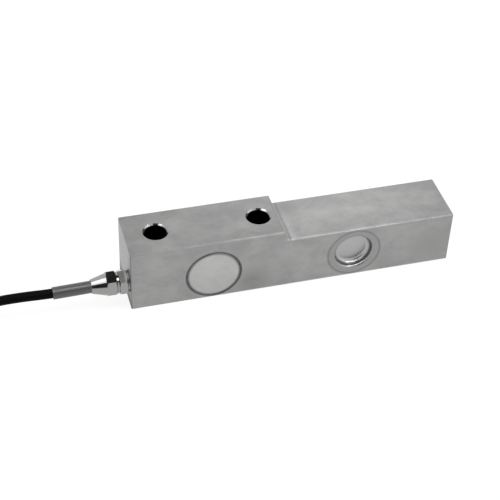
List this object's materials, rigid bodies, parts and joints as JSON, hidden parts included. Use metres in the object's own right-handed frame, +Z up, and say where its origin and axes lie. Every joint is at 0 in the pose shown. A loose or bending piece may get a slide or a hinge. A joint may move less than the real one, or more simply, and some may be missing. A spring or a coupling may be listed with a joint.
{
  "type": "shear beam load cell",
  "caption": "Stepped stainless steel shear beam load cell with a flush round cover, recessed gauge cups, a hex cable gland and its tied cable.",
  "frame": {"origin": "middle of the beam's flat underside", "axes": "+X along the beam from the cable end to the free end, +Y away from the terminal cover, +Z up from the underside"},
  "size_m": [0.4356, 0.0551, 0.0429],
  "materials": {
    "beam_steel": "satin",
    "cover_steel": "satin",
    "cup_steel": "polished",
    "gauge_film": "satin",
    "ribbon_film": "satin",
    "board_green": "satin",
    "solder": "satin",
    "resistor_body": "matte",
    "core_insulation": "satin",
    "seal_rubber": "matte",
    "gland_plate": "polished",
    "washer_brass": "satin",
    "sleeve_grey": "matte",
    "cable_jacket": "satin",
    "tie_fabric": "matte",
    "collar_black": "satin",
    "lead_red": "satin",
    "lead_green": "satin",
    "lead_bare": "satin",
    "lead_white": "satin",
    "lead_black": "satin"
  },
  "bodies": {
    "root": {"beam_body": "beam_steel", "terminal_cover": "cover_steel", "gauge_cup_front": "cup_steel", "gauge_cup_back": "cup_steel", "shear_gauge_front": "gauge_film", "shear_gauge_back": "gauge_film", "gauge_ribbon_front": "ribbon_film", "gauge_ribbon_back": "ribbon_film", "terminal_board": "board_green", "solder_pads": "solder", "trim_resistors": "resistor_body", "cable_cores": "core_insulation", "gland_seal": "seal_rubber", "gland_body": "gland_plate", "gland_nut": "gland_plate", "sealing_grommet": "seal_rubber", "clamp_washer": "washer_brass", "strain_relief_sleeve": "sleeve_grey", "cable_inlet": "cable_jacket", "cable": "cable_jacket", "cable_hank": "cable_jacket", "hank_tie": "tie_fabric", "cable_tail": "cable_jacket", "end_collar": "collar_black", "lead_red": "lead_red", "lead_green": "lead_green", "lead_shield": "lead_bare", "lead_white": "lead_white", "lead_black": "lead_black", "lead_tips": "solder"}
  },
  "joints": []
}
